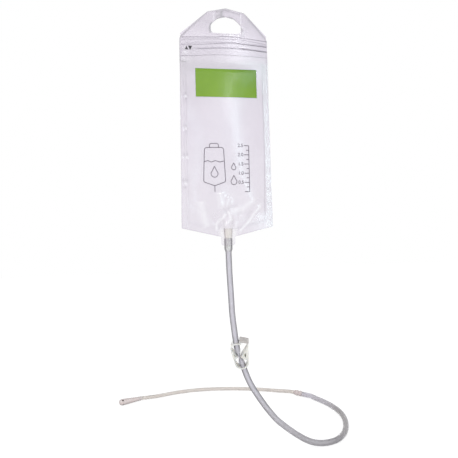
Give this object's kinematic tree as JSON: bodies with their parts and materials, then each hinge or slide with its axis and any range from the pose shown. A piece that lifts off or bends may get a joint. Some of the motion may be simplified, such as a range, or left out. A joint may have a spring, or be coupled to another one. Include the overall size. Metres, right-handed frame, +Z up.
{
  "type": "livestock drencher",
  "caption": "Hanging film drench bag with hand hole, press zip mouth and green label, a bottom outlet, a soft hose with ratchet pinch clamp, and a bulb-tipped probe tube.",
  "frame": {"origin": "the point under the handle's peak where a hook carries the hand hole", "axes": "+Z up, +X to the right in the picture, the printed face towards -Y"},
  "size_m": [0.5034, 0.4805, 0.8758],
  "materials": {
    "film": "clear soft film with a faint lilac tint",
    "zip": "clear extruded zip profile",
    "outlet": "ivory moulded plastic",
    "hose": "clear soft tubing",
    "clamp": "natural clear moulding",
    "probe": "translucent beige plastic"
  },
  "bodies": {
    "drencher": {"rear_film": "film", "front_film": "film", "zip_groove_strip": "zip", "port_connector": "outlet", "hose": "hose", "clamp_body": "clamp", "coupler": "probe", "probe_tube": "probe", "probe_tip": "probe"},
    "mouth_lip": {"front_lip": "film", "zip_rib_strip": "zip"},
    "clamp_lever": {"clamp_lever": "clamp"},
    "clamp_latch": {"clamp_latch": "clamp"}
  },
  "joints": [
    {"name": "mouth_open", "type": "hinge", "parent": "drencher", "child": "mouth_lip", "pos_m": [-0.005, -0.0016, -0.091], "axis": [1, 0, 0], "range_deg": [0, 75], "stiffness_Nm_per_rad": 0.02},
    {"name": "clamp_open", "type": "hinge", "parent": "drencher", "child": "clamp_lever", "pos_m": [0.00848, -0.00477, -0.69757], "axis": [-0.2192, -0.9494, -0.225], "range_deg": [0, 14], "stiffness_Nm_per_rad": 0.3},
    {"name": "latch_lift", "type": "hinge", "parent": "drencher", "child": "clamp_latch", "pos_m": [0.02535, -0.0204, -0.64807], "axis": [0.2192, 0.9494, 0.225], "range_deg": [0, 8], "stiffness_Nm_per_rad": 0.3}
  ]
}
